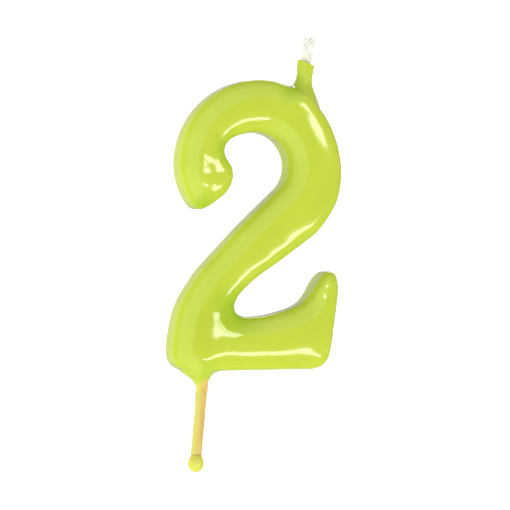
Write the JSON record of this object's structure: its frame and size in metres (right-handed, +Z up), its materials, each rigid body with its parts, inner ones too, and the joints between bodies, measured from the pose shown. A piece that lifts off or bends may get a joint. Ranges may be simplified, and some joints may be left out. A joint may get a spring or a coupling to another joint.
{
  "type": "number birthday candle",
  "caption": "Dipped wax birthday candle shaped as the figure 2, with a braided wick in its crown and a wooden pick that pushes into a cake.",
  "frame": {"origin": "where the pick's axis leaves the underside of the numeral", "axes": "+Z up along the numeral's height, -Y out of the numeral's front face, +X towards the numeral's right as it is read"},
  "size_m": [0.037, 0.01, 0.0911],
  "materials": {
    "core_wax": "cast paraffin, satin",
    "coat_wax": "dipped lime wax, glossy and slightly translucent",
    "film_wax": "thin wax film, glossy and translucent",
    "wick_cotton": "braided cotton, primed with wax",
    "pick_wood": "birch, turned and waxed"
  },
  "bodies": {
    "root": {"wax_core": "core_wax", "colour_coat": "coat_wax", "wick_yarn_1": "wick_cotton", "wick_yarn_2": "wick_cotton", "wick_yarn_3": "wick_cotton", "pick": "pick_wood", "pick_film": "film_wax", "drip_bead": "coat_wax"}
  },
  "joints": []
}
